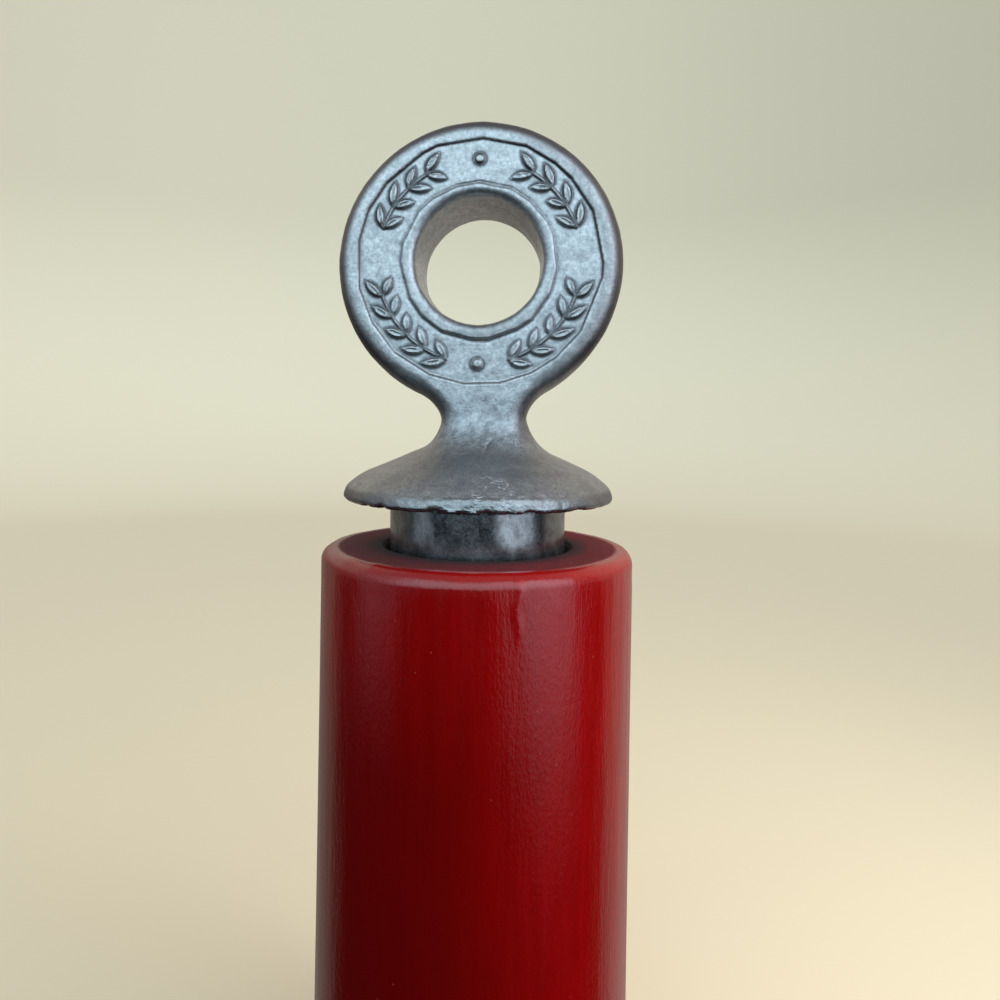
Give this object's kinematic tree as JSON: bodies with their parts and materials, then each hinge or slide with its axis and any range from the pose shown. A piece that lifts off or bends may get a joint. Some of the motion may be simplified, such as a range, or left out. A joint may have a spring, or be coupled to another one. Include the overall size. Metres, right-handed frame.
{
  "type": "bird call",
  "caption": "Friction bird call: a cast pewter plug with a finger ring twists in the rosined bore of a turned, lacquered wooden barrel and chirps.",
  "frame": {"origin": "centre of the barrel's flat foot", "axes": "+Z along the barrel and the plug's turning axis, from the foot to the ring; the ring's hole runs along Y and its front face looks along -Y"},
  "size_m": [0.0158, 0.0158, 0.0531],
  "materials": {
    "lacquered_birch": "gloss",
    "rosin": "satin",
    "pewter": "satin"
  },
  "bodies": {
    "barrel": {"barrel": "lacquered_birch"},
    "rosin_coat": {"rosin_coat": "rosin"},
    "plug": {"plug": "pewter"}
  },
  "joints": [
    {"name": "plug_pull", "type": "slide", "parent": "barrel", "child": "rosin_coat", "axis": [0, 0, 1], "range_m": [-0.00225, 0.018]},
    {"name": "plug_twist", "type": "hinge", "parent": "rosin_coat", "child": "plug", "pos_m": [0, 0, 0.03175], "axis": [0, 0, 1], "continuous": true}
  ]
}
